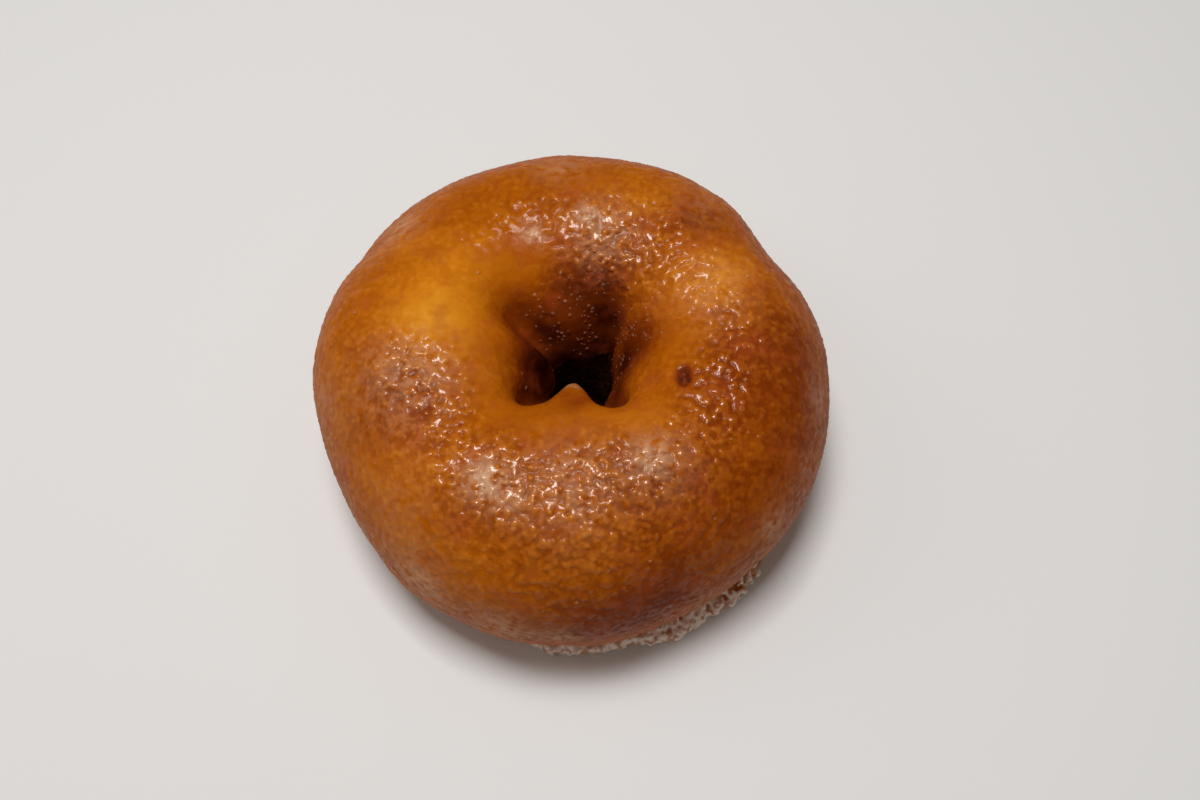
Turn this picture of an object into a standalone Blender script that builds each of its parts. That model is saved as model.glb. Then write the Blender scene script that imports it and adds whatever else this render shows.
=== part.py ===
"""A glazed cake ring doughnut, as one solid at its real size.

The ring is drawn as a closed section that travels round the axis. Each section is worked out from a few
driving dimensions, and the outline, the folds in the hole and the glaze foot change it as it travels.
Metres, +Z up. The origin is on the resting plane, under the middle of the ring, and +Y is the back.
"""

import math

import bmesh
import bpy
from mathutils import Vector, noise

# Driving dimensions of the fried ring
OUTER_DIAMETER = 0.0850
HEIGHT = 0.0385
THROAT_RADIUS = 0.0052
WIDEST_LEVEL = 0.0170  # height of the ring's widest level above the resting plane
THROAT_LEVEL = 0.0130  # height of the narrowest level of the hole
BASE_SINK = 0.0011  # how far the round underside has settled into a flat

# How full the section is, where 1 is an ellipse and a smaller power is squarer
CROWN_POWER = 0.93
FUNNEL_POWER = 0.86
FLANK_POWER = 0.95
UNDERSIDE_POWER = 0.82

# The hole isn't in the middle of the outline, and its lower mouth stands in front of its upper one
HOLE_OFFSET = Vector((0.0012, 0.0030, 0.0))
HOLE_LEAN = Vector((0.0, -0.0052, 0.0))

# The outline's swells and dents: azimuth and spread in degrees, then how far the flank moves out
OUTLINE_SWELLS = (
    (32.0, 11.0, -0.0020),  # notch at the back right
    (60.0, 14.0, 0.0002),  # shoulder next to the notch
    (88.0, 22.0, -0.0010),  # even back
    (135.0, 16.0, 0.0005),  # back left
    (151.0, 6.0, -0.0005),  # small dent at the back left
    (172.0, 18.0, 0.0006),  # fuller left flank
    (206.0, 18.0, -0.0024),  # flatter front left
    (232.0, 16.0, -0.0006),  # the same flat, fading towards the front
    (255.0, 24.0, -0.0007),  # flatter front
    (295.0, 26.0, -0.0019),  # flatter front right
    (330.0, 26.0, -0.0006),  # the same flat, fading towards the right
)

# The crown's rises and hollows, in the same form, as how far the crest moves up
CREST_SWELLS = (
    (95.0, 30.0, 0.0007),  # high back
    (140.0, 18.0, -0.0010),  # hollow at the back left
    (182.0, 24.0, 0.0006),  # round left shoulder
    (225.0, 16.0, -0.0005),  # hollow at the front left
    (270.0, 34.0, 0.0004),  # even front
    (318.0, 14.0, -0.0004),  # hollow at the front right
    (20.0, 20.0, -0.0006),  # lower right
)

# The folds round the hole, where the ring has closed on itself: azimuth, spread, level on the section and
# reach along it in degrees, then the depth into the dough. A negative depth is a tongue into the hole.
HOLE_FOLDS = (
    (-59.0, 12.0, 141.0, 15.0, 0.0066),  # front right pocket
    (-129.0, 13.0, 141.0, 16.0, 0.0070),  # front left pocket
    (-96.0, 28.0, 160.0, 22.0, -0.0034),  # tongue at the front
    (-157.0, 8.0, 150.0, 16.0, 0.0012),  # crease under the left ridge
    (-178.0, 19.0, 156.0, 20.0, -0.0026),  # ridge at the left
    (152.0, 15.0, 134.0, 20.0, 0.0024),  # hollow at the back left
    (108.0, 30.0, 152.0, 17.0, -0.0024),  # block at the back
    (50.0, 14.0, 158.0, 24.0, 0.0028),  # crevice in the back wall
    (8.0, 24.0, 166.0, 28.0, -0.0002),  # wall at the right
)

# Glaze has run down the front right and set as a low foot round the base. It reaches this far to each side of
# its middle and fades over its last degrees. Its outer edge is a bead that widens from the first radius to the
# second, between these levels of the section, and it wavers by this much, with this many waves a turn
FOOT_AZIMUTH = -68.0
FOOT_SPREAD = 44.0
FOOT_FADE = 14.0
FOOT_RADII = (0.0375, 0.0408)
FOOT_TOP_LEVELS = (-42.0, -57.0)
FOOT_BASE_LEVELS = (-66.0, -88.0)
FOOT_RAGGED = 0.0013
FOOT_WAVES = 40

# Dough is never even: the size and height of its low swellings
UNEVEN_SIZE = 0.0135
UNEVEN_HEIGHT = 0.00075
DIMPLE_SIZE = 0.0052
DIMPLE_HEIGHT = 0.00022

# The mesh: stations round the axis, and rows of the section from angle to angle, closer where it is finer
STATIONS = 120
SECTION_SPANS = (
    (-36.0, 62.0, 11),  # outer flank
    (62.0, 122.0, 7),  # crown
    (122.0, 206.0, 12),  # funnel and throat
    (206.0, 244.0, 3),  # inner underside
    (244.0, 292.0, 3),  # base
    (292.0, 324.0, 7),  # foot
)

CRUST_COLOUR = (0.36, 0.115, 0.018, 1.0)
CRUST_ROUGHNESS = 0.28


def clear_scene():
    for obj in list(bpy.data.objects):
        bpy.data.objects.remove(obj)


def direction(azimuth):
    """The unit vector that points outwards at an azimuth in degrees."""
    return Vector((math.cos(math.radians(azimuth)), math.sin(math.radians(azimuth)), 0.0))


def turned_from(angle, centre):
    """The signed difference of two angles in degrees, from -180 to 180."""
    return (angle - centre + 180.0) % 360.0 - 180.0


def swell(angle, centre, spread):
    """A smooth rise to 1 at centre, with that spread in degrees."""
    return math.exp(-((turned_from(angle, centre) / spread) ** 2))


def sum_of_swells(azimuth, swells):
    return sum(height * swell(azimuth, centre, spread) for centre, spread, height in swells)


def powered(value, power):
    """A sine or cosine made fuller, with its sign kept."""
    return math.copysign(abs(value) ** power, value)


def fold_depth(azimuth, level):
    """How far the folds sink the surface at this place of the section."""
    return sum(
        amount * swell(azimuth, centre, spread) * swell(level, at_level, reach)
        for centre, spread, at_level, reach, amount in HOLE_FOLDS
    )


def unevenness(place):
    """The dough's low swellings at a place, by gradient noise."""
    return UNEVEN_HEIGHT * noise.noise(place / UNEVEN_SIZE) + DIMPLE_HEIGHT * noise.noise(place / DIMPLE_SIZE)


def plain_section(azimuth, level):
    """Radius and height of the ring without folds. Level 0 is the flank, 90 the crest and 180 the throat."""
    outer = OUTER_DIAMETER / 2 + sum_of_swells(azimuth, OUTLINE_SWELLS)
    crest = HEIGHT + sum_of_swells(azimuth, CREST_SWELLS)
    middle = (outer + THROAT_RADIUS) / 2
    half_width = (outer - THROAT_RADIUS) / 2
    across = math.cos(math.radians(level))
    up = math.sin(math.radians(level))
    side_level = WIDEST_LEVEL if across >= 0 else THROAT_LEVEL
    if up >= 0:
        power = CROWN_POWER if across >= 0 else FUNNEL_POWER
        rise = (crest - side_level) * powered(up, power)
    else:
        power = FLANK_POWER if across >= 0 else UNDERSIDE_POWER
        rise = (side_level + BASE_SINK) * powered(up, power)
    return middle + half_width * powered(across, power), side_level + rise


def smooth_step(value, start, end):
    """0 before start, 1 after end, and a smooth rise between."""
    share = min(1.0, max(0.0, (value - start) / (end - start)))
    return share * share * (3.0 - 2.0 * share)


def foot_reach(azimuth, level, radius):
    """How far the set glaze stands out from the flank near the resting plane."""
    signed = turned_from(level, 0.0)
    if signed > 0:
        return 0.0
    turned = turned_from(azimuth, FOOT_AZIMUTH)
    along = 1.0 - smooth_step(abs(turned), FOOT_SPREAD - FOOT_FADE, FOOT_SPREAD)
    share = smooth_step(signed, *FOOT_TOP_LEVELS) * (1.0 - smooth_step(signed, *FOOT_BASE_LEVELS))
    narrow, wide = FOOT_RADII
    edge = narrow + (wide - narrow) * (0.5 + 0.5 * turned / FOOT_SPREAD)
    edge += FOOT_RAGGED * noise.noise(direction(azimuth) * FOOT_WAVES / math.tau)
    return max(0.0, edge - radius) * share * along


def surface_point(azimuth, level):
    """The place of one vertex, with every fold, swelling and the flat base."""
    radius, height = plain_section(azimuth, level)
    outward = direction(azimuth)
    across = math.cos(math.radians(level))
    out_of_section = outward * across + Vector((0.0, 0.0, math.sin(math.radians(level))))
    place = outward * radius + Vector((0.0, 0.0, height)) - out_of_section * fold_depth(azimuth, level)
    place += out_of_section * unevenness(place)
    place += outward * foot_reach(azimuth, level, radius)
    inner_share = 0.5 - 0.5 * across
    place += (HOLE_OFFSET + HOLE_LEAN * (1.0 - place.z / HEIGHT)) * inner_share
    place.z = max(place.z, 0.0)
    return place


def section_levels():
    """The section's rows in degrees, span by span."""
    levels = []
    for start, end, rows in SECTION_SPANS:
        levels += [start + (end - start) * row / rows for row in range(rows)]
    return levels


def crust_material():
    material = bpy.data.materials.new("glazed_crust")
    material.use_nodes = True
    surface = material.node_tree.nodes["Principled BSDF"]
    surface.inputs["Base Color"].default_value = CRUST_COLOUR
    surface.inputs["Roughness"].default_value = CRUST_ROUGHNESS
    surface.inputs["Metallic"].default_value = 0.0
    return material


def centred(bm):
    """Moves the ring so that the middle of its outline stands over the origin."""
    xs = [vertex.co.x for vertex in bm.verts]
    ys = [vertex.co.y for vertex in bm.verts]
    middle = Vector(((min(xs) + max(xs)) / 2, (min(ys) + max(ys)) / 2, 0.0))
    bmesh.ops.translate(bm, verts=bm.verts, vec=-middle)


def build_doughnut():
    """One section loop at each station, and quads between neighbouring loops."""
    bm = bmesh.new()
    levels = section_levels()
    loops = []
    for station in range(STATIONS):
        azimuth = 360.0 * station / STATIONS
        loops.append([bm.verts.new(surface_point(azimuth, level)) for level in levels])
    for station, loop in enumerate(loops):
        following = loops[(station + 1) % STATIONS]
        for row, vertex in enumerate(loop):
            above = (row + 1) % len(levels)
            bm.faces.new((vertex, following[row], following[above], loop[above]))
    centred(bm)
    bmesh.ops.recalc_face_normals(bm, faces=bm.faces)
    mesh = bpy.data.meshes.new("doughnut")
    bm.to_mesh(mesh)
    bm.free()
    mesh.shade_smooth()
    mesh.materials.append(crust_material())
    doughnut = bpy.data.objects.new("doughnut", mesh)
    bpy.context.scene.collection.objects.link(doughnut)
    return doughnut


def main():
    clear_scene()
    build_doughnut()


main()
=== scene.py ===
# %% [markdown]
# # A glazed cake doughnut
# The solid behind this scene is a plain ring of fried cake dough with a small folded hole. Here it gets its
# surface: a pebbled skin under a thin sugar glaze, glaze that has pooled at its foot, and the colours that
# hot oil leaves, from gold on the shoulders to deep red-brown inside the hole. Painted shade darkens the
# hole to nearly black, and painted sheen and painted reflection make the glaze paler in places.
#
# We start by loading the solid. It stays where it is, and everything that we make is measured from it.

# %% The solid and its box
import math

import bmesh
import bpy
import numpy as np
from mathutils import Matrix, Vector
from mathutils.bvhtree import BVHTree


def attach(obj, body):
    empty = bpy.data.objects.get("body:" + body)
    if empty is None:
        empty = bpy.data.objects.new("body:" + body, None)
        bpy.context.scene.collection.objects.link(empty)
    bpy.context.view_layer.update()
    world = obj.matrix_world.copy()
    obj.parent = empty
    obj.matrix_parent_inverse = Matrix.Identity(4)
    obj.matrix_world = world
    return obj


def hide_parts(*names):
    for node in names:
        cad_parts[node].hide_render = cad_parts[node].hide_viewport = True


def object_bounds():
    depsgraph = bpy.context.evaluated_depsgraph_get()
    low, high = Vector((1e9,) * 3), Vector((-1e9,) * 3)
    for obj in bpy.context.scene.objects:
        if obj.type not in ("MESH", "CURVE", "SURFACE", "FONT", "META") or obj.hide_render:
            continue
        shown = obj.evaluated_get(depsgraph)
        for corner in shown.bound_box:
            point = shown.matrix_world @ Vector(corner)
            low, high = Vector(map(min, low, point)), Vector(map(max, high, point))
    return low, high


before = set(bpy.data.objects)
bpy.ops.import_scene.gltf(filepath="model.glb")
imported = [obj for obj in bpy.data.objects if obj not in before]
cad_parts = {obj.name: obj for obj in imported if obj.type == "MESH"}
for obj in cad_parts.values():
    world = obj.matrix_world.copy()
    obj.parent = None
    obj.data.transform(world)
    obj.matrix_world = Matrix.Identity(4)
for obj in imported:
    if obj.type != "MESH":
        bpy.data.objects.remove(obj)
cad_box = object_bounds()
MM = 0.001
BODY = "root"
NODE = "doughnut"
low_corner, high_corner = ([round(x / MM, 1) for x in corner] for corner in cad_box)
print("solid from", low_corner, "to", high_corner, "mm")

# %% [markdown]
# ## The camera
# The photograph looks down on the doughnut at 65 degrees through a wide lens, from about 20 cm. We make the
# camera first, because a mark that we see in the photograph can then be placed by its pixel: a ray through
# that pixel hits the dough at one point, and the mark is laid there in real space, right from every other
# side too.

# %% Camera at the photograph's angle
PHOTO_WIDTH = 1200
PHOTO_HEIGHT = 800
FIELD_OF_VIEW = math.radians(52.0)
CAMERA_ELEVATION = math.radians(65.0)
CAMERA_DISTANCE = 0.2045
CAMERA_AIM = Vector((0.0049, -0.0006, 0.0170))

camera_data = bpy.data.cameras.new("photo_camera")
camera_data.sensor_width = 36.0
camera_data.angle = FIELD_OF_VIEW
camera_data.clip_start = 0.01
camera = bpy.data.objects.new("photo_camera", camera_data)
bpy.context.scene.collection.objects.link(camera)
towards_camera = Vector((0.0, -math.cos(CAMERA_ELEVATION), math.sin(CAMERA_ELEVATION)))
camera.location = CAMERA_AIM + towards_camera * CAMERA_DISTANCE
camera.rotation_euler = (math.pi / 2 - CAMERA_ELEVATION, 0.0, 0.0)
bpy.context.scene.camera = camera
print("camera at", [round(x, 4) for x in camera.location], "lens", round(camera_data.lens, 1), "mm")

# %% A ray through a pixel of the photograph
def ray_through(pixel):
    """The direction from the camera through a pixel of the 1200 x 800 photograph."""
    half_width = PHOTO_WIDTH / 2
    spread = math.tan(FIELD_OF_VIEW / 2)
    across = (pixel[0] - half_width) / half_width * spread
    up = (PHOTO_HEIGHT / 2 - pixel[1]) / half_width * spread
    return (camera.rotation_euler.to_matrix() @ Vector((across, up, -1.0))).normalized()


middle_ray = ray_through((PHOTO_WIDTH / 2, PHOTO_HEIGHT / 2))
print("the middle of the picture looks along", [round(x, 3) for x in middle_ray])

# %% [markdown]
# ## A smooth body to work on
# The solid is made of flat facets a few millimetres wide, and pebbles are smaller than that. So we copy its
# mesh, merge the loose triangles, join them to quads, round them with Subdivision Surface, and remesh the
# result to an even grid of 0.3 mm. The solid itself isn't touched.

# %% Helpers that turn modifiers into a plain mesh
def add_object(name, mesh):
    made = bpy.data.objects.new(name, mesh)
    bpy.context.scene.collection.objects.link(made)
    return made


def settle(obj):
    """Replaces the mesh by what its modifiers make of it, and removes them."""
    graph = bpy.context.evaluated_depsgraph_get()
    mesh = bpy.data.meshes.new_from_object(obj.evaluated_get(graph), depsgraph=graph)
    obj.modifiers.clear()
    old = obj.data
    obj.data = mesh
    bpy.data.meshes.remove(old)
    return obj


def corners_of(mesh):
    """The vertices as an array of rows, in millimetres."""
    flat = np.empty(len(mesh.vertices) * 3, np.float32)
    mesh.vertices.foreach_get("co", flat)
    return flat.reshape(-1, 3).astype(float) / MM


def triangle_count(mesh):
    return sum(len(face.vertices) - 2 for face in mesh.polygons)


# %% The body, rounded and remeshed
VOXEL = 0.30 * MM
QUAD_BEND = math.radians(60.0)


def merged_quads(node):
    bm = bmesh.new()
    bm.from_mesh(node.data)
    bmesh.ops.remove_doubles(bm, verts=bm.verts, dist=0.001 * MM)
    bmesh.ops.join_triangles(
        bm, faces=bm.faces, angle_face_threshold=QUAD_BEND, angle_shape_threshold=QUAD_BEND
    )
    mesh = bpy.data.meshes.new("crust")
    bm.to_mesh(mesh)
    bm.free()
    return mesh


crust = add_object("crust", merged_quads(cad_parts[NODE]))
rounding = crust.modifiers.new("rounding", "SUBSURF")
rounding.levels = 2
rounding.render_levels = 2
even_grid = crust.modifiers.new("even_grid", "REMESH")
even_grid.mode = "VOXEL"
even_grid.voxel_size = VOXEL
ironing = crust.modifiers.new("ironing", "SMOOTH")
ironing.factor = 0.5
ironing.iterations = 16
settle(crust)
print("even grid:", len(crust.data.vertices), "vertices")

# %% [markdown]
# ## Where things are
# Light places, dark places and milky patches don't follow a rule, so they are listed: what it is,
# the pixel of the photograph where it shows, how far it reaches in millimetres, and how strong it is. A ray
# from the camera turns the pixel into a point of the body. A value of the surface is then a sum of soft
# round spots.

# %% Points of the body under pixels
body_tree = BVHTree.FromObject(crust, bpy.context.evaluated_depsgraph_get())


def seen_at(pixel):
    """The point of the body under a pixel, in millimetres."""
    point = body_tree.ray_cast(camera.location, ray_through(pixel))[0]
    return np.array(point) / MM


def spots(points, places):
    """Sum of soft round spots. Each place has a name, a pixel of the photograph, a reach and a strength."""
    total = np.zeros(len(points))
    for _, pixel, reach, strength in places:
        distance = np.linalg.norm(points - seen_at(pixel), axis=1)
        total += strength * np.exp(-((distance / reach) ** 2))
    return total


def soft_step(values, start, end):
    share = np.clip((values - start) / (end - start), 0.0, 1.0)
    return share * share * (3.0 - 2.0 * share)


def keep_as(mesh, name, values):
    """Stores one number for each vertex, for the nodes to read."""
    layer = mesh.attributes.get(name) or mesh.attributes.new(name, "FLOAT", "POINT")
    layer.data.foreach_set("value", values.astype(np.float32))


# %% How strong the pebbles are
PEBBLED_PLACES = (
    ("front band", (570, 486), 12.0, 0.80),
    ("front band, left", (480, 478), 8.0, 0.45),
    ("front band, right", (670, 465), 8.0, 0.50),
    ("left patch", (410, 372), 8.0, 0.75),
    ("below the left patch", (450, 440), 6.0, 0.40),
    ("right shoulder", (715, 300), 8.0, 0.45),
    ("right shoulder, front", (738, 358), 6.5, 0.40),
    ("right inner slope", (712, 415), 6.0, 0.35),
    ("back net", (605, 240), 9.0, 0.65),
    ("back net, right", (650, 232), 6.0, 0.35),
    ("back net, low", (600, 252), 4.0, 0.28),
    ("back left", (470, 250), 6.0, 0.10),
    ("left of the net", (512, 218), 4.5, 0.10),
    ("front lip, bare", (570, 415), 6.5, -0.60),
    ("front lip, bare on the left", (505, 415), 5.5, -0.50),
    ("front lip, bare on the right", (640, 415), 5.0, -0.45),
    ("smooth band at the back", (590, 185), 5.0, -0.30),
    ("smooth back left slope", (510, 265), 5.0, -0.40),
    ("smooth left slope", (480, 335), 6.0, -0.40),
    ("smooth right slope", (672, 330), 5.0, -0.35),
    ("gold left shoulder", (430, 312), 5.0, -0.25),
)
HOLE_AXIS = np.array([1.7, 2.1])
PEBBLES_ON_CROWN = 0.34
PEBBLES_ON_FLANK = 0.20
FLANK_LEVELS = (35.0, 27.0)
PEBBLE_LIMITS = (0.06, 1.30)
UNDERSIDE_SHARE = 0.55
UNDERSIDE_LEVELS = (4.0, 12.0)
CALM = 0.7
CALM_REACH = (13.0, 9.0)
CALM_LEVELS = (35.0, 30.0)
BASE_FADE = (0.6, 3.5)


def away_from_hole(points):
    return np.linalg.norm(points[:, :2] - HOLE_AXIS, axis=1)


def pebble_share(points):
    """Strong on the crown, weaker on the flanks and the underside, and calm on the walls of the hole."""
    flank = soft_step(points[:, 2], *FLANK_LEVELS)
    everywhere = PEBBLES_ON_CROWN + (PEBBLES_ON_FLANK - PEBBLES_ON_CROWN) * flank
    share = np.clip(everywhere + spots(points, PEBBLED_PLACES), *PEBBLE_LIMITS)
    underside = UNDERSIDE_SHARE + (1.0 - UNDERSIDE_SHARE) * soft_step(points[:, 2], *UNDERSIDE_LEVELS)
    near_hole = soft_step(away_from_hole(points), *CALM_REACH)
    calm = 1.0 - CALM * near_hole * soft_step(points[:, 2], *CALM_LEVELS)
    return share * underside * calm * soft_step(points[:, 2], *BASE_FADE)


GRAIN_INSIDE = 0.35
GRAIN_REACH = (18.0, 26.0)
GRAIN_LEVELS = (36.0, 26.0)


def grain_share(points):
    """Fine grain makes the rim ragged: strong on the flanks, and weak on the crown and in the hole."""
    outside = soft_step(away_from_hole(points), *GRAIN_REACH) * soft_step(points[:, 2], *GRAIN_LEVELS)
    return (GRAIN_INSIDE + (1.0 - GRAIN_INSIDE) * outside) * soft_step(points[:, 2], *BASE_FADE)


DULL_SHINE = 0.20
SHINE_ON_PEBBLES = 1.3
SHINE_LIMITS = (0.06, 1.0)
MATT_REACH = (12.0, 8.0)
MATT_LEVELS = (28.0, 21.0)


def shine_of(points):
    """High on the pebbled places, low elsewhere, and below 0 in the matt depth of the hole."""
    share = np.clip(DULL_SHINE + SHINE_ON_PEBBLES * spots(points, PEBBLED_PLACES), *SHINE_LIMITS)
    deep = soft_step(away_from_hole(points), *MATT_REACH) * soft_step(points[:, 2], *MATT_LEVELS)
    return share * (1.0 - deep) - deep


RIPPLED_PLACES = (
    ("fan of ripples on the right shoulder", (692, 272), 4.5, 1.0),
    ("end of the fan", (722, 300), 4.0, 0.6),
)
RIPPLE_CENTRE = (712, 312)


def ripple_share(points):
    return np.clip(spots(points, RIPPLED_PLACES), 0.0, 1.0)


points = corners_of(crust.data)
shares = pebble_share(points)
keep_as(crust.data, "pebbles", shares)
keep_as(crust.data, "grain", grain_share(points))
keep_as(crust.data, "ripples", ripple_share(points))
print("pebble share from", round(shares.min(), 2), "to", round(shares.max(), 2))

# %% Dents that are bigger than a pebble
DENTS = (
    ("burnt pit", (684, 380), 0.85, 1.0),
    ("upper end of the pit", (683, 372), 0.75, 0.8),
    ("burst bubble on the back wall", (626, 331), 0.8, 0.35),
    ("burst bubble on the left wall", (548, 318), 0.7, 0.30),
    ("small crater at the back", (545, 205), 0.9, 0.25),
    ("small crater at the left", (372, 300), 0.9, 0.25),
    ("small crater at the front", (610, 575), 1.0, 0.22),
)


def sink_dents(mesh):
    """Pushes each dent in along the normals."""
    depth = spots(corners_of(mesh), DENTS) * MM
    normals = np.empty(len(mesh.vertices) * 3, np.float32)
    mesh.vertex_normals.foreach_get("vector", normals)
    places = corners_of(mesh) * MM - normals.reshape(-1, 3) * depth[:, None]
    mesh.vertices.foreach_set("co", places.astype(np.float32).ravel())
    mesh.update()


sink_dents(crust.data)
print("dents:", len(DENTS))

# %% [markdown]
# ## Pebbles and wrinkles
# Cake dough fries to a fine pebbled skin, and a thin glaze rounds it off. Painting that as a bump would do
# in the middle of the picture, but the rim shows it as a real ragged line. So it is real relief here:
# Geometry Nodes move each vertex along its normal by a height that is worked out from its place. Cells of a
# smooth Voronoi pattern are the pebbles, a noise bends them so that they run together like worms, and rings
# round one point are the ripples that the flowing glaze left on the right shoulder.

# %% Small helpers for node trees
def add_node(tree, kind, inputs=None, **settings):
    """A new node with its settings, and its inputs set to values or linked to sockets."""
    made = tree.nodes.new(kind)
    for name, value in settings.items():
        setattr(made, name, value)
    for name, value in (inputs or {}).items():
        if isinstance(value, bpy.types.NodeSocket):
            tree.links.new(value, made.inputs[name])
        else:
            made.inputs[name].default_value = value
    return made


def maths(tree, operation, *values, clamp=False):
    made = add_node(tree, "ShaderNodeMath", dict(enumerate(values)), operation=operation, use_clamp=clamp)
    return made.outputs[0]


def vector_maths(tree, operation, *values):
    made = add_node(tree, "ShaderNodeVectorMath", dict(enumerate(values)), operation=operation)
    return made.outputs["Value"] if operation == "DISTANCE" else made.outputs["Vector"]


def stretched(tree, vector, factor):
    made = add_node(tree, "ShaderNodeVectorMath", {0: vector, "Scale": factor}, operation="SCALE")
    return made.outputs["Vector"]


def scaled(tree, value, strength):
    return maths(tree, "MULTIPLY", value, strength)


def summed(tree, *values):
    total = values[0]
    for value in values[1:]:
        total = maths(tree, "ADD", total, value)
    return total


def noise(tree, place, size, detail=1.0, output="Fac"):
    """Noise with features of about this size, in the units of the place."""
    scale = maths(tree, "DIVIDE", 1.0, size) if isinstance(size, bpy.types.NodeSocket) else 1.0 / size
    inputs = {"Vector": place, "Scale": scale, "Detail": detail}
    return add_node(tree, "ShaderNodeTexNoise", inputs).outputs[output]


def centred_noise(tree, place, size, detail=1.0):
    return maths(tree, "SUBTRACT", noise(tree, place, size, detail), 0.5)


def ranged(tree, value, low, high, to_low=0.0, to_high=1.0):
    """Goes smoothly from one level to the other while the value goes from low to high."""
    inputs = {"Value": value, "From Min": low, "From Max": high, "To Min": to_low, "To Max": to_high}
    return add_node(tree, "ShaderNodeMapRange", inputs, interpolation_type="SMOOTHSTEP").outputs["Result"]


# %% Helpers for trees of Geometry Nodes
def new_geometry_tree(name, inputs):
    """A tree with a mesh in and out, and named inputs."""
    tree = bpy.data.node_groups.new(name, "GeometryNodeTree")
    tree.interface.new_socket("Geometry", in_out="INPUT", socket_type="NodeSocketGeometry")
    tree.interface.new_socket("Geometry", in_out="OUTPUT", socket_type="NodeSocketGeometry")
    for label, kind in inputs.items():
        tree.interface.new_socket(label, in_out="INPUT", socket_type="NodeSocket" + kind)
    return tree, tree.nodes.new("NodeGroupInput").outputs


def close_geometry_tree(tree, geometry, material):
    """Ends a tree the way the export needs it: real mesh, with its material."""
    real = add_node(tree, "GeometryNodeRealizeInstances", {"Geometry": geometry})
    dressed = add_node(tree, "GeometryNodeSetMaterial", {"Geometry": real.outputs[0], "Material": material})
    end = tree.nodes.new("NodeGroupOutput")
    tree.links.new(dressed.outputs[0], end.inputs[0])


def wear_only(mesh, material):
    """Gives the whole mesh one material, and drops the empty slots that Geometry Nodes leave."""
    mesh.materials.clear()
    mesh.materials.append(material)
    mesh.polygons.foreach_set("material_index", np.zeros(len(mesh.polygons), np.int32))


def run_tree(obj, tree, values):
    """Puts the tree on the object with these inputs and settles it to a plain mesh."""
    modifier = obj.modifiers.new(tree.name, "NODES")
    modifier.node_group = tree
    sockets = {item.name: item.identifier for item in tree.interface.items_tree if item.in_out == "INPUT"}
    for label, value in values.items():
        modifier[sockets[label]] = value
    return settle(obj)


def attribute(tree, name):
    read = add_node(tree, "GeometryNodeInputNamedAttribute", {"Name": name}, data_type="FLOAT")
    return read.outputs["Attribute"]


def spot_in_tree(tree):
    return tree.nodes.new("GeometryNodeInputPosition").outputs[0]


# %% The pattern of the skin
BEND_SIZE = 2.4
HALF = (0.5, 0.5, 0.5)
PEBBLE_EDGE = (0.16, 0.56)
PEBBLE_SOFTNESS = 0.35
WORM_EDGE = (0.41, 0.59)
WOBBLE_SIZE = 3.0
WOBBLE = 4.2


def skin_pattern(tree, place, pebble_size, worm_size):
    """Two flat-topped heights from -0.5 to 0.5: pebbles, and the worms that join them."""
    bend = vector_maths(tree, "SUBTRACT", noise(tree, place, BEND_SIZE, output="Color"), HALF)
    inputs = {
        "Vector": vector_maths(tree, "ADD", place, bend),
        "Scale": maths(tree, "DIVIDE", 1.0, pebble_size),
        "Smoothness": PEBBLE_SOFTNESS,
    }
    cells = add_node(tree, "ShaderNodeTexVoronoi", inputs, feature="SMOOTH_F1")
    pebbles = ranged(tree, cells.outputs["Distance"], *PEBBLE_EDGE, 0.5, -0.5)
    worms = ranged(tree, noise(tree, place, worm_size, detail=1.5), *WORM_EDGE, -0.5, 0.5)
    return pebbles, worms


def ripple_wave(tree, place, centre, spacing):
    """Uneven rings round a centre, from -1 to 1."""
    away = vector_maths(tree, "DISTANCE", place, centre)
    wobble = scaled(tree, centred_noise(tree, place, WOBBLE_SIZE, detail=2.0), WOBBLE)
    turns = maths(tree, "DIVIDE", maths(tree, "ADD", away, wobble), spacing)
    return maths(tree, "SINE", scaled(tree, turns, math.tau))


# %% The tree that raises the pebbles
PEBBLE_SIZE = 1.15
WORM_SIZE = 1.30
SEED = (31.0, 7.0, 12.0)
RIPPLE_SPACING = 1.60
ripple_centre = [float(x) for x in seen_at(RIPPLE_CENTRE)]

crust_material = bpy.data.materials.new("glazed_crust_with_painted_shade_and_sheen")
relief, given = new_geometry_tree(
    "pebbled_glaze",
    {
        "Pebble size": "Float",
        "Pebble height": "Float",
        "Worm size": "Float",
        "Worm height": "Float",
        "Grain size": "Float",
        "Grain height": "Float",
        "Ripple centre": "Vector",
        "Ripple spacing": "Float",
        "Ripple height": "Float",
        "Seed": "Vector",
    },
)
in_mm = stretched(relief, spot_in_tree(relief), 1.0 / MM)
seeded = vector_maths(relief, "ADD", in_mm, given["Seed"])
pebbles, worms = skin_pattern(relief, seeded, given["Pebble size"], given["Worm size"])
grain = centred_noise(relief, seeded, given["Grain size"])
skin = summed(
    relief,
    scaled(relief, pebbles, given["Pebble height"]),
    scaled(relief, worms, given["Worm height"]),
)
skin = scaled(relief, skin, attribute(relief, "pebbles"))
grain = scaled(relief, scaled(relief, grain, given["Grain height"]), attribute(relief, "grain"))

# %% Ripples, and the tree's end
wave = ripple_wave(relief, in_mm, given["Ripple centre"], given["Ripple spacing"])
ripple = scaled(relief, scaled(relief, wave, given["Ripple height"]), attribute(relief, "ripples"))
lift = scaled(relief, summed(relief, skin, grain, ripple), MM)
normal = relief.nodes.new("GeometryNodeInputNormal").outputs[0]
outward = stretched(relief, normal, lift)
moved = add_node(relief, "GeometryNodeSetPosition", {"Geometry": given["Geometry"], "Offset": outward})
close_geometry_tree(relief, moved.outputs[0], crust_material)

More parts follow.
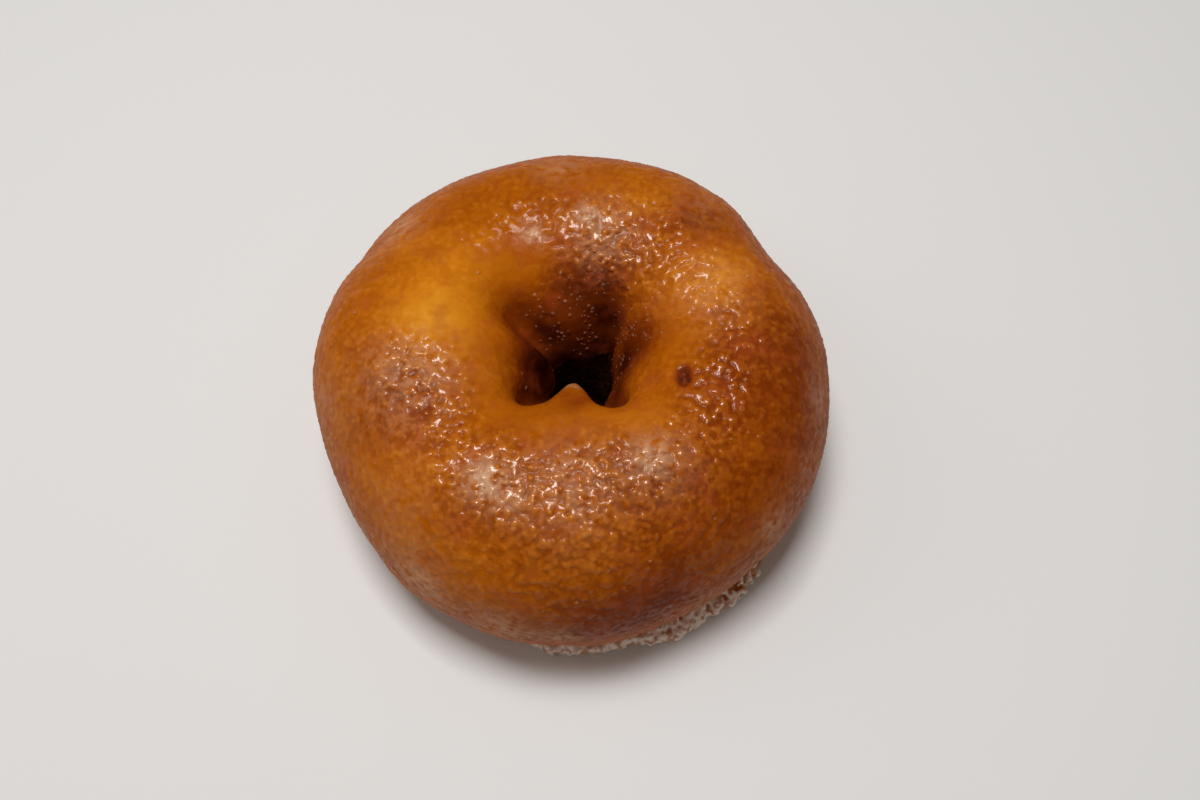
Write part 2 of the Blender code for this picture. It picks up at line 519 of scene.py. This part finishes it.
run_tree(
    crust,
    relief,
    {
        "Pebble size": PEBBLE_SIZE,
        "Pebble height": 0.18,
        "Worm size": WORM_SIZE,
        "Worm height": 0.15,
        "Grain size": 0.80,
        "Grain height": 0.50,
        "Ripple centre": ripple_centre,
        "Ripple spacing": RIPPLE_SPACING,
        "Ripple height": 0.16,
        "Seed": SEED,
    },
)
relief_points = corners_of(crust.data)
print("relief from", relief_points.min(axis=0).round(2), "to", relief_points.max(axis=0).round(2), "mm")

# %% [markdown]
# ## Fewer triangles
# The even grid has three times as many triangles as one piece should have. Decimate takes away those that
# matter least to the shape, so that smooth places pay for the pebbled ones.

# %% Thin out the mesh
MOST_TRIANGLES = 196000


def thin_out(obj, limit):
    fewer = obj.modifiers.new("fewer", "DECIMATE")
    fewer.ratio = limit / triangle_count(obj.data)
    settle(obj)
    obj.data.shade_smooth()


thin_out(crust, MOST_TRIANGLES)
print("crust:", triangle_count(crust.data), "triangles")

# %% [markdown]
# ## Depth of browning, and painted shade
# Thick, high and well-drained places stay gold, and places that the oil reached longer or that the glaze
# covers thickly are red-brown. Painted shade is added to that: the inside of the hole, with its hollows,
# crevices, pockets and slot, is darkened to nearly black, the flanks on the right and low at the front are
# darkened, and the left is a little lighter. One number for each vertex, the tone, holds all that. It is a
# slope from left to right, plus listed spots, plus what the hole and the base add. The material turns the
# tone into a colour, and adds finer mottling by itself.

# %% Tone and painted shade
# Each spot moves the tone. The gold and red spots are the crust's own colour, and the dark spots on the
# flanks and in the hole also hold painted shade.
TONE_AND_SHADE_PLACES = (
    ("gold on the left shoulder", (432, 314), 7.0, 0.31),
    ("gold at the back left", (470, 262), 7.0, 0.12),
    ("gold at the back", (640, 205), 5.0, 0.10),
    ("gold on the right shoulder", (708, 275), 7.0, 0.24),
    ("gold by the pit", (680, 345), 6.0, 0.05),
    ("gold below the pit", (655, 425), 5.0, 0.10),
    # Front left flank a little lighter: partly the crust's colour and partly painted light.
    ("front left flank", (405, 520), 11.0, 0.06),
    ("front left, red", (450, 510), 5.0, -0.08),
    ("left patch, red", (400, 400), 7.0, -0.10),
    # Right flanks and low front: darker crust plus painted shade, away from the lamps and under the bulge.
    ("right flank", (790, 370), 13.0, -0.14),
    ("front right flank", (745, 510), 14.0, -0.10),
    ("front, low", (580, 625), 9.0, -0.14),
    ("front right, low", (660, 600), 8.0, -0.16),
    ("back right, red", (695, 222), 6.0, -0.14),
    ("burnt pit", (684, 379), 0.9, -0.80),
    ("burnt pit, upper end", (683, 372), 0.9, -0.60),
    # In the hole, on its walls, hollows, crevice, pockets and slot: darker crust plus painted shade.
    ("hole, top of the back wall", (602, 283), 3.4, -0.17),
    ("hole, back wall", (590, 300), 6.0, -0.14),
    ("hole, back wall, left", (562, 288), 3.8, -0.16),
    ("hole, left hollow", (522, 312), 4.0, -0.18),
    ("hole, edge of the left hollow", (503, 314), 3.0, -0.08),
    ("hole, lower back wall", (575, 335), 4.5, -0.12),
    ("hole, back wall, left and low", (548, 336), 3.5, -0.10),
    ("hole, left hollow, low", (548, 332), 3.0, -0.20),
    ("hole, crevice at the right", (618, 318), 3.0, -0.22),
    ("hole, right wall", (642, 340), 4.5, -0.24),
    ("hole, left ridge", (512, 358), 4.5, -0.10),
    ("hole, left wall of the slot", (534, 350), 3.6, -0.32),
    ("hole, left of the slot, low", (534, 374), 3.4, -0.15),
    ("hole, right end of the slot", (624, 362), 3.4, -0.40),
    ("hole, back wall by the crevice", (604, 318), 3.2, -0.16),
    ("hole, left pocket, outer wall", (524, 390), 2.6, -0.18),
    ("hole, left pocket", (540, 394), 3.2, -0.32),
    ("hole, right pocket", (616, 394), 3.2, -0.34),
    ("left end of the slot", (549, 366), 2.8, -0.30),
    ("tongue", (573, 402), 3.0, -0.12),
)
TONE_MIDDLE = 0.575
# Lighter on the left and darker on the right: partly the crust's colour and partly painted shade.
TONE_AND_SHADE_SLOPE = -0.0004
# Inside the hole the tone falls further: darker crust plus painted shade.
HOLE_SHADE_AND_BROWNING = 0.55
DARK_REACH = (12.0, 8.0)
DARK_LEVELS = (27.0, 18.0)
DARK_AT_BASE = 0.05
BASE_LEVELS = (6.0, 0.5)


def tone_and_shade_of(points):
    """0 is nearly black and 1 is gold; low values are darker crust plus painted shade."""
    tone_and_shade = TONE_MIDDLE + TONE_AND_SHADE_SLOPE * points[:, 0] + spots(points, TONE_AND_SHADE_PLACES)
    inside = soft_step(away_from_hole(points), *DARK_REACH) * soft_step(points[:, 2], *DARK_LEVELS)
    base = soft_step(points[:, 2], *BASE_LEVELS)
    return np.clip(tone_and_shade - HOLE_SHADE_AND_BROWNING * inside - DARK_AT_BASE * base, 0.0, 1.0)


print("tone at the front lip:", round(float(tone_and_shade_of(seen_at((570, 420))[None])[0]), 2))

# %% Haze of thick glaze, painted sheen and painted reflection
HAZE_AND_SHEEN_PLACES = (
    # In the highlight bands: partly thick milky glaze and partly painted sheen.
    ("milky patch in the front band", (484, 478), 2.8, 0.80),
    ("its tail", (505, 500), 2.6, 0.35),
    ("milky end of the front band", (652, 456), 2.6, 0.50),
    ("front band", (570, 486), 7.0, 0.24),
    ("right of the front band", (662, 462), 5.0, 0.20),
    ("left patch", (412, 372), 6.5, 0.26),
    ("right shoulder", (715, 290), 6.0, 0.14),
    ("back net", (603, 232), 5.0, 0.34),
    ("milky spot at the back", (531, 235), 1.6, 0.80),
    ("second milky spot at the back", (588, 213), 1.4, 0.70),
    ("right of the foot", (748, 584), 3.0, 0.35),
    # Pale rims, flanks and shoulder: painted reflection of the paper and of the left lamp.
    ("pale rim, left", (322, 400), 4.0, 0.20),
    ("pale rim, front left", (420, 583), 4.5, 0.50),
    ("pale rim, front", (500, 626), 4.5, 0.40),
    ("pale rim, back left", (400, 228), 4.0, 0.35),
    ("pale rim, top", (560, 167), 4.0, 0.22),
    ("pale rim, low", (560, 637), 3.0, 0.34),
    ("pale rim, front right", (774, 526), 3.0, 0.38),
    ("pale rim, right", (819, 400), 3.0, 0.32),
    ("pale flank, front left", (400, 520), 8.0, 0.10),
    ("pale flank, left", (352, 400), 7.0, 0.06),
    ("pale shoulder, back right", (700, 205), 5.0, 0.10),
    # A paler tip on the tongue.
    ("tip of the tongue", (573, 385), 1.2, 0.55),
)
FOOT_HAZE = 0.55
FOOT_AZIMUTH = -74.0
FOOT_SPREAD = 30.0
THIN_FOOT_SPREAD = 46.0
FOOT_STEEPNESS = 6
FOOT_HEIGHTS = (2.2, 4.6)
FOOT_EDGE = (33.5, 35.4)


def foot_share(points, spread=FOOT_SPREAD):
    """Where glaze has pooled: along the foot at the front right."""
    azimuth = np.degrees(np.arctan2(points[:, 1], points[:, 0]))
    along = np.exp(-(((azimuth - FOOT_AZIMUTH) / spread) ** FOOT_STEEPNESS))
    outside = soft_step(np.linalg.norm(points[:, :2], axis=1), *FOOT_EDGE)
    return along * outside * soft_step(points[:, 2], FOOT_HEIGHTS[1], FOOT_HEIGHTS[0])


def haze_and_sheen_of(points):
    foot = FOOT_HAZE * foot_share(points, THIN_FOOT_SPREAD)
    return np.clip(spots(points, HAZE_AND_SHEEN_PLACES) + foot, 0.0, 1.0)


def paint(mesh):
    """Stores all the values that the crust's finish reads."""
    points = corners_of(mesh)
    keep_as(mesh, "tone_and_shade", tone_and_shade_of(points))
    keep_as(mesh, "haze_and_sheen", haze_and_sheen_of(points))
    keep_as(mesh, "pebbles", pebble_share(points))
    keep_as(mesh, "shine", shine_of(points))
    keep_as(mesh, "ripples", ripple_share(points))


paint(crust.data)
print("haziest place:", round(float(haze_and_sheen_of(corners_of(crust.data)).max()), 2))

# %% [markdown]
# ## The crust's finish
# Under the glaze the dough scatters light, so that its browns glow a little. The clear sugar glaze over it
# is the shader's coat. It is strong on the tops of the pebbles, which gives each one its sharp highlight,
# and nearly absent on the flanks, whose browns stay deep. The colour is a ramp read by the tone, with its
# painted shade, mottled at three sizes, with painted shade in the grooves between the pebbles and painted
# light on their tops. Bumps finer than the mesh come from noise. Thick glaze is paler and duller, and the
# same pale mix paints sheen in the highlight bands and reflection along the rims.

# %% Colour of the crust
crust_material.use_nodes = True
finish = crust_material.node_tree
surface = finish.nodes["Principled BSDF"]

BROWNS = (
    (0.00, (0.010, 0.0025, 0.0008)),
    (0.20, (0.075, 0.0094, 0.0014)),
    (0.40, (0.220, 0.0365, 0.0018)),
    (0.58, (0.420, 0.1020, 0.0020)),
    (0.76, (0.590, 0.1850, 0.0070)),
    (1.00, (0.760, 0.3300, 0.0200)),
)


def fill_ramp(ramp, stops):
    while len(ramp.color_ramp.elements) < len(stops):
        ramp.color_ramp.elements.new(0.5)
    for element, (position, colour) in zip(ramp.color_ramp.elements, stops):
        element.position = position
        element.color = (*colour, 1.0)


# a Mix node has its sockets for colours after those for numbers and vectors
FIRST_COLOUR = 6
SECOND_COLOUR = 7
MIXED_COLOUR = 2


def mixed(tree, share, first, second):
    inputs = {"Factor": share, FIRST_COLOUR: first, SECOND_COLOUR: second}
    return add_node(tree, "ShaderNodeMix", inputs, data_type="RGBA").outputs[MIXED_COLOUR]


def surface_value(tree, name):
    return add_node(tree, "ShaderNodeAttribute", attribute_name=name).outputs["Fac"]


def place_in_mm(tree):
    return stretched(tree, tree.nodes.new("ShaderNodeTexCoord").outputs["Object"], 1.0 / MM)


def bumped(tree, height, strength, distance):
    """The normal of a surface that this height makes uneven."""
    inputs = {"Height": height, "Strength": strength, "Distance": distance}
    return add_node(tree, "ShaderNodeBump", inputs).outputs["Normal"]


# %% Mottled brown, red patches, painted shade in the grooves, and milky glaze with painted sheen
MOTTLES = ((11.0, 0.16), (3.2, 0.16), (0.85, 0.08))
GROOVE_SHADE = 0.12
RED_BROWN = (0.36, 0.062, 0.012, 1.0)
RED_PATCH_SIZE = 4.5
RED_EDGE = (0.50, 0.68)
REDNESS = 0.35
# Milky glaze, also used for painted sheen and painted reflection.
MILKY_GLAZE_AND_SHEEN = (0.68, 0.42, 0.25, 1.0)
CLOUD_SIZE = 1.5
CLOUD_EDGE = (0.28, 0.60)

where = place_in_mm(finish)
pebbles, worms = skin_pattern(finish, vector_maths(finish, "ADD", where, SEED), PEBBLE_SIZE, WORM_SIZE)
pebbled = surface_value(finish, "pebbles")
tone_and_shade = surface_value(finish, "tone_and_shade")
for size, strength in MOTTLES:
    tone_and_shade = summed(finish, tone_and_shade, scaled(finish, centred_noise(finish, where, size, detail=2.0), strength))
# Painted shade and light: grooves between the pebbles darker, their tops lighter.
groove_shade = scaled(finish, summed(finish, pebbles, worms), GROOVE_SHADE)
tone_and_shade = maths(finish, "ADD", tone_and_shade, scaled(finish, groove_shade, pebbled), clamp=True)
browning = add_node(finish, "ShaderNodeValToRGB", {"Fac": tone_and_shade})
fill_ramp(browning, BROWNS)
reddish = ranged(finish, noise(finish, where, RED_PATCH_SIZE, detail=3.0), *RED_EDGE, to_high=REDNESS)
colour = mixed(finish, reddish, browning.outputs["Color"], RED_BROWN)
haze_and_sheen = surface_value(finish, "haze_and_sheen")
clouds = ranged(finish, noise(finish, where, CLOUD_SIZE, detail=2.0), *CLOUD_EDGE)
# Paler where the glaze is thick at the foot, plus painted sheen in the highlight bands and painted
# reflection on the rims.
colour = mixed(finish, maths(finish, "MULTIPLY", haze_and_sheen, clouds, clamp=True), colour, MILKY_GLAZE_AND_SHEEN)
finish.links.new(colour, surface.inputs["Base Color"])
print("browns in the ramp:", len(BROWNS), "mottled at", [size for size, _ in MOTTLES], "mm")

# %% Gloss of the crust
UNEVEN_SIZE = 2.3
UNEVEN_EDGE = (0.35, 0.65)
ROUGHNESS = (0.16, 0.23)
GLOSSY_TO_DULL = (0.70, 0.10)
DULL_TO_MATT = (0.0, -1.0)
DULL_EXTRA = 0.26
MATT_EXTRA = 0.60
HAZE_EXTRA = 0.10
PEBBLES_IN_TOPS = 0.8
RINGS_IN_TOPS = 0.7
TOP_EDGE = (-0.15, 0.25)
SHINE_IN_GROOVES = 0.18
DULL_TINT = (0.15, 0.09, 0.03, 1.0)
BRIGHT_TINT = (1.0, 0.86, 0.68, 1.0)
COAT_ON_BRIGHT = 0.82

glossy = surface_value(finish, "shine")
rough = ranged(finish, noise(finish, where, UNEVEN_SIZE, detail=2.0), *UNEVEN_EDGE, *ROUGHNESS)
dull = ranged(finish, glossy, *GLOSSY_TO_DULL, to_high=DULL_EXTRA)
matt = ranged(finish, glossy, *DULL_TO_MATT, to_high=MATT_EXTRA)
rough = maths(finish, "ADD", summed(finish, rough, dull, matt), scaled(finish, haze_and_sheen, HAZE_EXTRA), clamp=True)
finish.links.new(rough, surface.inputs["Roughness"])
rings = ripple_wave(finish, where, ripple_centre, RIPPLE_SPACING)
wave = scaled(finish, scaled(finish, rings, RINGS_IN_TOPS), surface_value(finish, "ripples"))
tops = summed(finish, scaled(finish, pebbles, PEBBLES_IN_TOPS), worms, wave)
tops = ranged(finish, tops, *TOP_EDGE)
on_tops = ranged(finish, tops, 0.0, 1.0, to_low=SHINE_IN_GROOVES)
shine = maths(finish, "MULTIPLY", glossy, on_tops, clamp=True)
finish.links.new(mixed(finish, shine, DULL_TINT, BRIGHT_TINT), surface.inputs["Specular Tint"])
finish.links.new(scaled(finish, shine, COAT_ON_BRIGHT), surface.inputs["Coat Weight"])
print("roughness from", ROUGHNESS[0], "on shiny glaze to", ROUGHNESS[1] + MATT_EXTRA, "in the hole")

# %% Clear coat and glow of the crust
surface.inputs["Coat Roughness"].default_value = 0.17
surface.inputs["Specular IOR Level"].default_value = 0.08
surface.inputs["IOR"].default_value = 1.36
surface.inputs["Subsurface Weight"].default_value = 0.15
surface.inputs["Subsurface Radius"].default_value = (1.0, 0.35, 0.12)
surface.inputs["Subsurface Scale"].default_value = 1.0 * MM

# %% Fine bumps of the crust
PEBBLE_BUMP = 0.05
WORM_BUMP = 0.05
FINE_SIZE = 0.55
FINE_BUMP = 0.030
FINER_SIZE = 0.24
FINER_BUMP = 0.006

skin = summed(finish, scaled(finish, pebbles, PEBBLE_BUMP), scaled(finish, worms, WORM_BUMP))
skin = scaled(finish, skin, pebbled)
fine = scaled(finish, centred_noise(finish, where, FINE_SIZE, detail=2.0), FINE_BUMP)
finer = scaled(finish, centred_noise(finish, where, FINER_SIZE), FINER_BUMP)
uneven = bumped(finish, summed(finish, skin, fine, finer), 1.0, MM)
finish.links.new(uneven, surface.inputs["Normal"])
finish.links.new(uneven, surface.inputs["Coat Normal"])
print("nodes in the crust's finish:", len(finish.nodes))

# %% [markdown]
# ## The shaded throat
# Deep in the hole the crust lies in shade, and it is painted as that shade: matt and nearly black. It is
# the same mesh, so its faces just take a second material. The border lies where the glazed crust is nearly
# black already.

# %% Matt black finish of painted shade
SHADE_BLACK = (0.010, 0.0030, 0.0014, 1.0)
SHADE_BROWN = (0.040, 0.0100, 0.0030, 1.0)
SHADE_MOTTLE_SIZE = 1.4
SHADE_MOTTLE_EDGE = (0.35, 0.70)
FLAKE_SIZE = 0.7
THROAT_BUMP = 0.3 * MM

throat_material = bpy.data.materials.new("painted_shade_in_throat")
throat_material.use_nodes = True
throat = throat_material.node_tree
throat_surface = throat.nodes["Principled BSDF"]
throat_where = place_in_mm(throat)
shade_mottle = ranged(throat, noise(throat, throat_where, SHADE_MOTTLE_SIZE, detail=3.0), *SHADE_MOTTLE_EDGE)
throat.links.new(mixed(throat, shade_mottle, SHADE_BLACK, SHADE_BROWN), throat_surface.inputs["Base Color"])
throat_surface.inputs["Roughness"].default_value = 0.95
throat_surface.inputs["Specular IOR Level"].default_value = 0.0
flaky = bumped(throat, noise(throat, throat_where, FLAKE_SIZE, detail=2.0), 0.6, THROAT_BUMP)
throat.links.new(flaky, throat_surface.inputs["Normal"])

# %% The faces that wear it
THROAT_REACH = 9.5
THROAT_TOP = 19.5


def shade_throat(mesh):
    mesh.materials.append(throat_material)
    flat = np.empty(len(mesh.polygons) * 3, np.float32)
    mesh.polygons.foreach_get("center", flat)
    centres = flat.reshape(-1, 3) / MM
    # These faces take the painted shade of the throat.
    burnt = (away_from_hole(centres) < THROAT_REACH) & (centres[:, 2] < THROAT_TOP)
    mesh.polygons.foreach_set("material_index", burnt.astype(np.int32))
    print("burnt faces:", int(burnt.sum()))


shade_throat(crust.data)

# %% [markdown]
# ## Beads of sugar
# Where glaze dried in drops it left beads of a few tenths of a millimetre. Each one catches the lamp as a
# single spark, also on walls that are too steep for the smooth glaze to shine. Geometry Nodes scatter
# little flattened balls over the crust, half sunk in it. How thickly is one more value of the surface, from
# listed spots.

# %% Where beads lie
BEADED_PLACES = (
    ("hole, upper back wall", (595, 270), 4.0, 0.8),
    ("hole, middle of the back wall", (565, 310), 4.5, 1.0),
    ("hole, lower back wall", (585, 335), 4.0, 0.8),
    ("hole, crevice", (622, 345), 4.0, 1.0),
    ("hole, right wall", (640, 320), 4.0, 0.7),
    ("left rim", (335, 380), 8.0, 0.15),
)
BEADS_EVERYWHERE = 0.01
BEADED_LEVELS = (4.0, 8.0)


def bead_share(points):
    share = BEADS_EVERYWHERE + spots(points, BEADED_PLACES)
    return np.clip(share, 0.0, 1.0) * soft_step(points[:, 2], *BEADED_LEVELS)


beads = add_object("sugar_beads", crust.data.copy())
keep_as(beads.data, "beads", bead_share(corners_of(beads.data)))

# %% Helpers for scattering
def scattered_on(tree, given, share, most):
    """Points on the faces of the given mesh. The most is for one square metre, where the share is 1."""
    inputs = {
        "Mesh": given["Geometry"],
        "Distance Min": given["Spacing"],
        "Density Max": most,
        "Density Factor": share,
        "Seed": given["Seed"],
    }
    return add_node(tree, "GeometryNodeDistributePointsOnFaces", inputs, distribute_method="POISSON")


def random_size(tree, given, smallest, largest):
    inputs = {2: given[smallest], 3: given[largest], "Seed": given["Seed"]}
    return add_node(tree, "FunctionNodeRandomValue", inputs, data_type="FLOAT").outputs[1]


# %% The tree that scatters beads
BEAD_SIDES = 7
BEAD_RINGS = 6
MOST_BEADS = 2.2e6
CLUSTER_EDGE = (0.38, 0.62)
BETWEEN_CLUSTERS = 0.15

bead_tree, given = new_geometry_tree(
    "beads_of_sugar",
    {
        "Smallest bead": "Float",
        "Largest bead": "Float",
        "Flatness": "Float",
        "Spacing": "Float",
        "Cluster size": "Float",
        "Seed": "Int",
    },
)
uneven = noise(bead_tree, spot_in_tree(bead_tree), given["Cluster size"])
clusters = ranged(bead_tree, uneven, *CLUSTER_EDGE, to_low=BETWEEN_CLUSTERS)
density = scaled(bead_tree, attribute(bead_tree, "beads"), clusters)
scattered = scattered_on(bead_tree, given, density, MOST_BEADS)
ball_inputs = {"Segments": BEAD_SIDES, "Rings": BEAD_RINGS, "Radius": 1.0}
ball = add_node(bead_tree, "GeometryNodeMeshUVSphere", ball_inputs)
smooth_ball = add_node(bead_tree, "GeometryNodeSetShadeSmooth", {"Geometry": ball.outputs["Mesh"]})
across = random_size(bead_tree, given, "Smallest bead", "Largest bead")
height = scaled(bead_tree, across, given["Flatness"])
placed = add_node(
    bead_tree,
    "GeometryNodeInstanceOnPoints",
    {
        "Points": scattered.outputs["Points"],
        "Instance": smooth_ball.outputs[0],
        "Rotation": scattered.outputs["Rotation"],
        "Scale": add_node(bead_tree, "ShaderNodeCombineXYZ", {0: across, 1: across, 2: height}).outputs[0],
    },
)
close_geometry_tree(bead_tree, placed.outputs[0], crust_material)

# %% Scatter them
BEAD_SHINE = 0.8
# Beads are a little paler: milky sugar plus painted sparkle.
BEAD_HAZE_AND_SHEEN = 0.14

run_tree(
    beads,
    bead_tree,
    {
        "Smallest bead": 0.08 * MM,
        "Largest bead": 0.40 * MM,
        "Flatness": 0.36,
        "Spacing": 0.50 * MM,
        "Cluster size": 2.4 * MM,
        "Seed": 11,
    },
)
wear_only(beads.data, crust_material)
paint(beads.data)
every_bead = np.ones(len(beads.data.vertices))
keep_as(beads.data, "shine", BEAD_SHINE * every_bead)
keep_as(beads.data, "haze_and_sheen", BEAD_HAZE_AND_SHEEN * every_bead)
print("beads:", triangle_count(beads.data), "triangles")

# %% [markdown]
# ## Glaze pooled at the foot
# While the glaze was wet it ran down the front right and set as a low, lumpy, milky bead where the
# doughnut stands. We cover that strip of the crust with many small drops, then melt them together: Remesh
# fuses the drops and Smooth rounds them, as surface tension did.

# %% The strip that the glaze covers
foot_glaze = add_object("foot_glaze", crust.data.copy())
keep_as(foot_glaze.data, "foot", foot_share(corners_of(foot_glaze.data)))

# %% The tree that lays drops of glaze
MOST_DROPS = 9.0e6

glaze_material = bpy.data.materials.new("pooled_glaze_finish")
drop_tree, given = new_geometry_tree(
    "drops_of_glaze",
    {"Drop radius": "Float", "Largest drop": "Float", "Spacing": "Float", "Seed": "Int"},
)
scattered = scattered_on(drop_tree, given, attribute(drop_tree, "foot"), MOST_DROPS)
drop = add_node(drop_tree, "GeometryNodeMeshIcoSphere", {"Radius": 1.0, "Subdivisions": 2})
drops = add_node(
    drop_tree,
    "GeometryNodeInstanceOnPoints",
    {
        "Points": scattered.outputs["Points"],
        "Instance": drop.outputs["Mesh"],
        "Scale": random_size(drop_tree, given, "Drop radius", "Largest drop"),
    },
)
close_geometry_tree(drop_tree, drops.outputs[0], glaze_material)
run_tree(
    foot_glaze,
    drop_tree,
    {"Drop radius": 0.26 * MM, "Largest drop": 0.90 * MM, "Spacing": 0.56 * MM, "Seed": 5},
)
print("drops:", triangle_count(foot_glaze.data), "triangles")

# %% Melt the drops together
DROP_VOXEL = 0.20 * MM

melting = foot_glaze.modifiers.new("melting", "REMESH")
melting.mode = "VOXEL"
melting.voxel_size = DROP_VOXEL
rounding = foot_glaze.modifiers.new("rounding", "SMOOTH")
rounding.factor = 0.5
rounding.iterations = 2
settle(foot_glaze)


def stand_on_floor(mesh):
    """Nothing reaches below the resting plane."""
    places = corners_of(mesh) * MM
    places[:, 2] = np.maximum(places[:, 2], 0.0)
    mesh.vertices.foreach_set("co", places.astype(np.float32).ravel())
    mesh.update()


stand_on_floor(foot_glaze.data)
foot_glaze.data.shade_smooth()
print("foot glaze:", triangle_count(foot_glaze.data), "triangles")

# %% Milky glaze with brown crumbs
MILK = (0.95, 0.77, 0.67, 1.0)
CRUMB_BROWN = (0.56, 0.28, 0.16, 1.0)
CRUMB_SIZE = 1.1
CRUMB_EDGE = (0.45, 0.64)
MILK_LUMP_SIZE = 0.5
MILK_BUMP = 0.12 * MM

glaze_material.use_nodes = True
milk = glaze_material.node_tree
milk_surface = milk.nodes["Principled BSDF"]
milk_where = place_in_mm(milk)
crumbs = ranged(milk, noise(milk, milk_where, CRUMB_SIZE, detail=3.0), *CRUMB_EDGE)
milk.links.new(mixed(milk, crumbs, MILK, CRUMB_BROWN), milk_surface.inputs["Base Color"])
milk_surface.inputs["Roughness"].default_value = 0.45
milk_surface.inputs["Specular IOR Level"].default_value = 0.15
milk_surface.inputs["Subsurface Weight"].default_value = 0.2
milk_surface.inputs["Subsurface Radius"].default_value = (1.0, 0.6, 0.4)
milk_surface.inputs["Subsurface Scale"].default_value = 1.2 * MM
milk_surface.inputs["Coat Weight"].default_value = 0.05
milk_surface.inputs["Coat Roughness"].default_value = 0.12
lumpy = bumped(milk, noise(milk, milk_where, MILK_LUMP_SIZE, detail=2.0), 0.5, MILK_BUMP)
milk.links.new(lumpy, milk_surface.inputs["Normal"])
wear_only(foot_glaze.data, glaze_material)

# %% [markdown]
# ## Paper, light and air
# The doughnut lies on plain pale paper under one compact lamp, almost overhead and a little behind. Its
# small size is what makes the sharp sparkle on each pebble. A second, weaker lamp stands at the left, and a
# dim sky fills in.

# %% Paper
PAPER_SIDE = 3.0
paper_mesh = bpy.data.meshes.new("paper")
half = PAPER_SIDE / 2
paper_corners = [(-half, -half, 0), (half, -half, 0), (half, half, 0), (-half, half, 0)]
paper_mesh.from_pydata(paper_corners, [], [(0, 1, 2, 3)])
paper = add_object("paper", paper_mesh)
paper_material = bpy.data.materials.new("plain_paper")
paper_material.use_nodes = True
paper_surface = paper_material.node_tree.nodes["Principled BSDF"]
paper_surface.inputs["Base Color"].default_value = (0.80, 0.80, 0.80, 1.0)
paper_surface.inputs["Roughness"].default_value = 0.75
paper_surface.inputs["Specular IOR Level"].default_value = 0.2
paper_mesh.materials.append(paper_material)
print("paper:", PAPER_SIDE, "m wide")

# %% Lamps
LAMP_AIM = Vector((0.0, 0.0, 0.02))


def add_lamp(name, azimuth, elevation, distance, side, power, colour):
    data = bpy.data.lights.new(name, "AREA")
    data.shape = "SQUARE"
    data.size = side
    data.energy = power
    data.color = colour
    lamp = bpy.data.objects.new(name, data)
    bpy.context.scene.collection.objects.link(lamp)
    turn, lift = math.radians(azimuth), math.radians(elevation)
    outward = Vector((math.cos(turn) * math.cos(lift), math.sin(turn) * math.cos(lift), math.sin(lift)))
    lamp.location = LAMP_AIM + outward * distance
    lamp.rotation_euler = outward.to_track_quat("Z", "Y").to_euler()
    return lamp


add_lamp(
    "lamp_overhead",
    azimuth=140.0,
    elevation=84.0,
    distance=0.60,
    side=0.185,
    power=2.76,
    colour=(1.0, 0.985, 0.965),
)
add_lamp(
    "lamp_left",
    azimuth=172.0,
    elevation=46.0,
    distance=0.70,
    side=0.35,
    power=0.34,
    colour=(1.0, 0.97, 0.94),
)

# %% A dim sky
sky = bpy.data.worlds.new("dim_sky")
sky.use_nodes = True
air = sky.node_tree.nodes["Background"]
air.inputs["Color"].default_value = (1.0, 0.92, 0.83, 1.0)
air.inputs["Strength"].default_value = 0.16
bpy.context.scene.world = sky
bpy.context.scene.view_settings.view_transform = "Standard"

# %% [markdown]
# ## Attaching the pieces
# All three pieces ride on the doughnut's one body. The crust stands for the plain solid, which is then
# hidden.

# %% Pieces on the body
for piece in (crust, beads, foot_glaze):
    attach(piece, BODY)
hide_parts(NODE)
